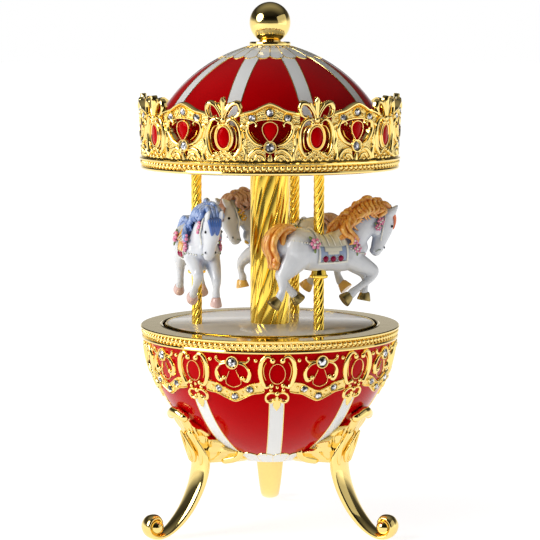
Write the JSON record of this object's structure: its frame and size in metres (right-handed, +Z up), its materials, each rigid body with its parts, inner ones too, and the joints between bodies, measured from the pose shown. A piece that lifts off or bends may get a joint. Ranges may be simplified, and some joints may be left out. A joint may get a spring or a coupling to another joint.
{
  "type": "carousel music box",
  "caption": "Egg-shaped enamelled musical carousel on three scroll legs: a beaded bowl holds a wind-up movement that turns a canopy with jumping horses.",
  "frame": {"origin": "the point on the carousel's axis in the plane that the three feet stand on", "axes": "+Z up along the carousel's axis; -Y is the front, midway between the two front legs; +X to the right"},
  "size_m": [0.08, 0.084, 0.1622],
  "materials": {
    "brass": "turned brass",
    "crystal": "faceted clear",
    "gold": "polished gold plate",
    "horse_enamel": "glossy painted white metal",
    "red_enamel": "deep glossy red enamel",
    "spring_steel": "blued steel",
    "steel": "bright steel",
    "white_enamel": "glossy white enamel"
  },
  "bodies": {
    "base": {"bowl_shell": "red_enamel", "bowl_rim": "gold", "key_well": "gold", "leg_left": "gold", "leg_right": "gold", "leg_back": "gold", "leg_screws": "steel", "bowl_crystals": "crystal", "bedplate": "brass", "bedplate_screws": "steel", "arbor_bush": "brass", "clutch_spring": "spring_steel", "cylinder_bracket_inner": "brass", "cylinder_bracket_outer": "brass", "music_comb": "steel", "comb_base": "brass", "comb_screws": "steel", "governor_bracket": "brass", "governor_bearing": "brass", "top_bridge": "brass", "bridge_pillars": "brass", "bridge_screws": "steel", "spindle_bush": "brass"},
    "winding": {"winding_arbor": "steel", "winding_key": "gold"},
    "cylinder": {"music_cylinder": "brass", "cylinder_arbor": "steel", "cylinder_pinion": "steel", "cylinder_worm_wheel": "brass"},
    "governor": {"governor_worm": "steel", "governor_fan": "brass"},
    "carousel": {"barrel_drum": "brass", "barrel_cover": "brass", "mainspring": "spring_steel", "carousel_spindle": "steel", "platform_base": "gold", "platform_disc": "white_enamel", "centre_column": "gold", "tie_rod": "steel", "horse_blue_mane": "horse_enamel", "pole_blue_horse": "gold", "horse_gold_mane": "horse_enamel", "pole_gold_horse": "gold", "horse_brown_mane": "horse_enamel", "pole_brown_horse": "gold", "horse_collars": "gold", "pole_nuts": "steel", "ceiling_plate": "gold", "canopy_rim": "gold", "crown_gallery": "gold", "crown_enamels": "red_enamel", "crown_crystals": "crystal", "canopy_dome": "red_enamel", "finial_washer": "gold", "finial_ball": "gold"}
  },
  "joints": [
    {"name": "carousel_turn", "type": "hinge", "parent": "base", "child": "carousel", "pos_m": [0, 0, 0.05], "axis": [0, 0, 1], "continuous": true},
    {"name": "winding_turn", "type": "hinge", "parent": "base", "child": "winding", "pos_m": [0, 0, 0.035], "axis": [0, 0, 1], "continuous": true},
    {"name": "cylinder_turn", "type": "hinge", "parent": "base", "child": "cylinder", "pos_m": [0.02, 0, 0.054], "axis": [1, 0, 0], "continuous": true},
    {"name": "governor_turn", "type": "hinge", "parent": "base", "child": "governor", "pos_m": [0.017, 0.0063, 0.05], "axis": [0, 0, 1], "continuous": true}
  ],
  "couplings": [
    {"joint": "cylinder_turn", "follows": "carousel_turn", "ratio": 5},
    {"joint": "governor_turn", "follows": "carousel_turn", "ratio": -120}
  ]
}
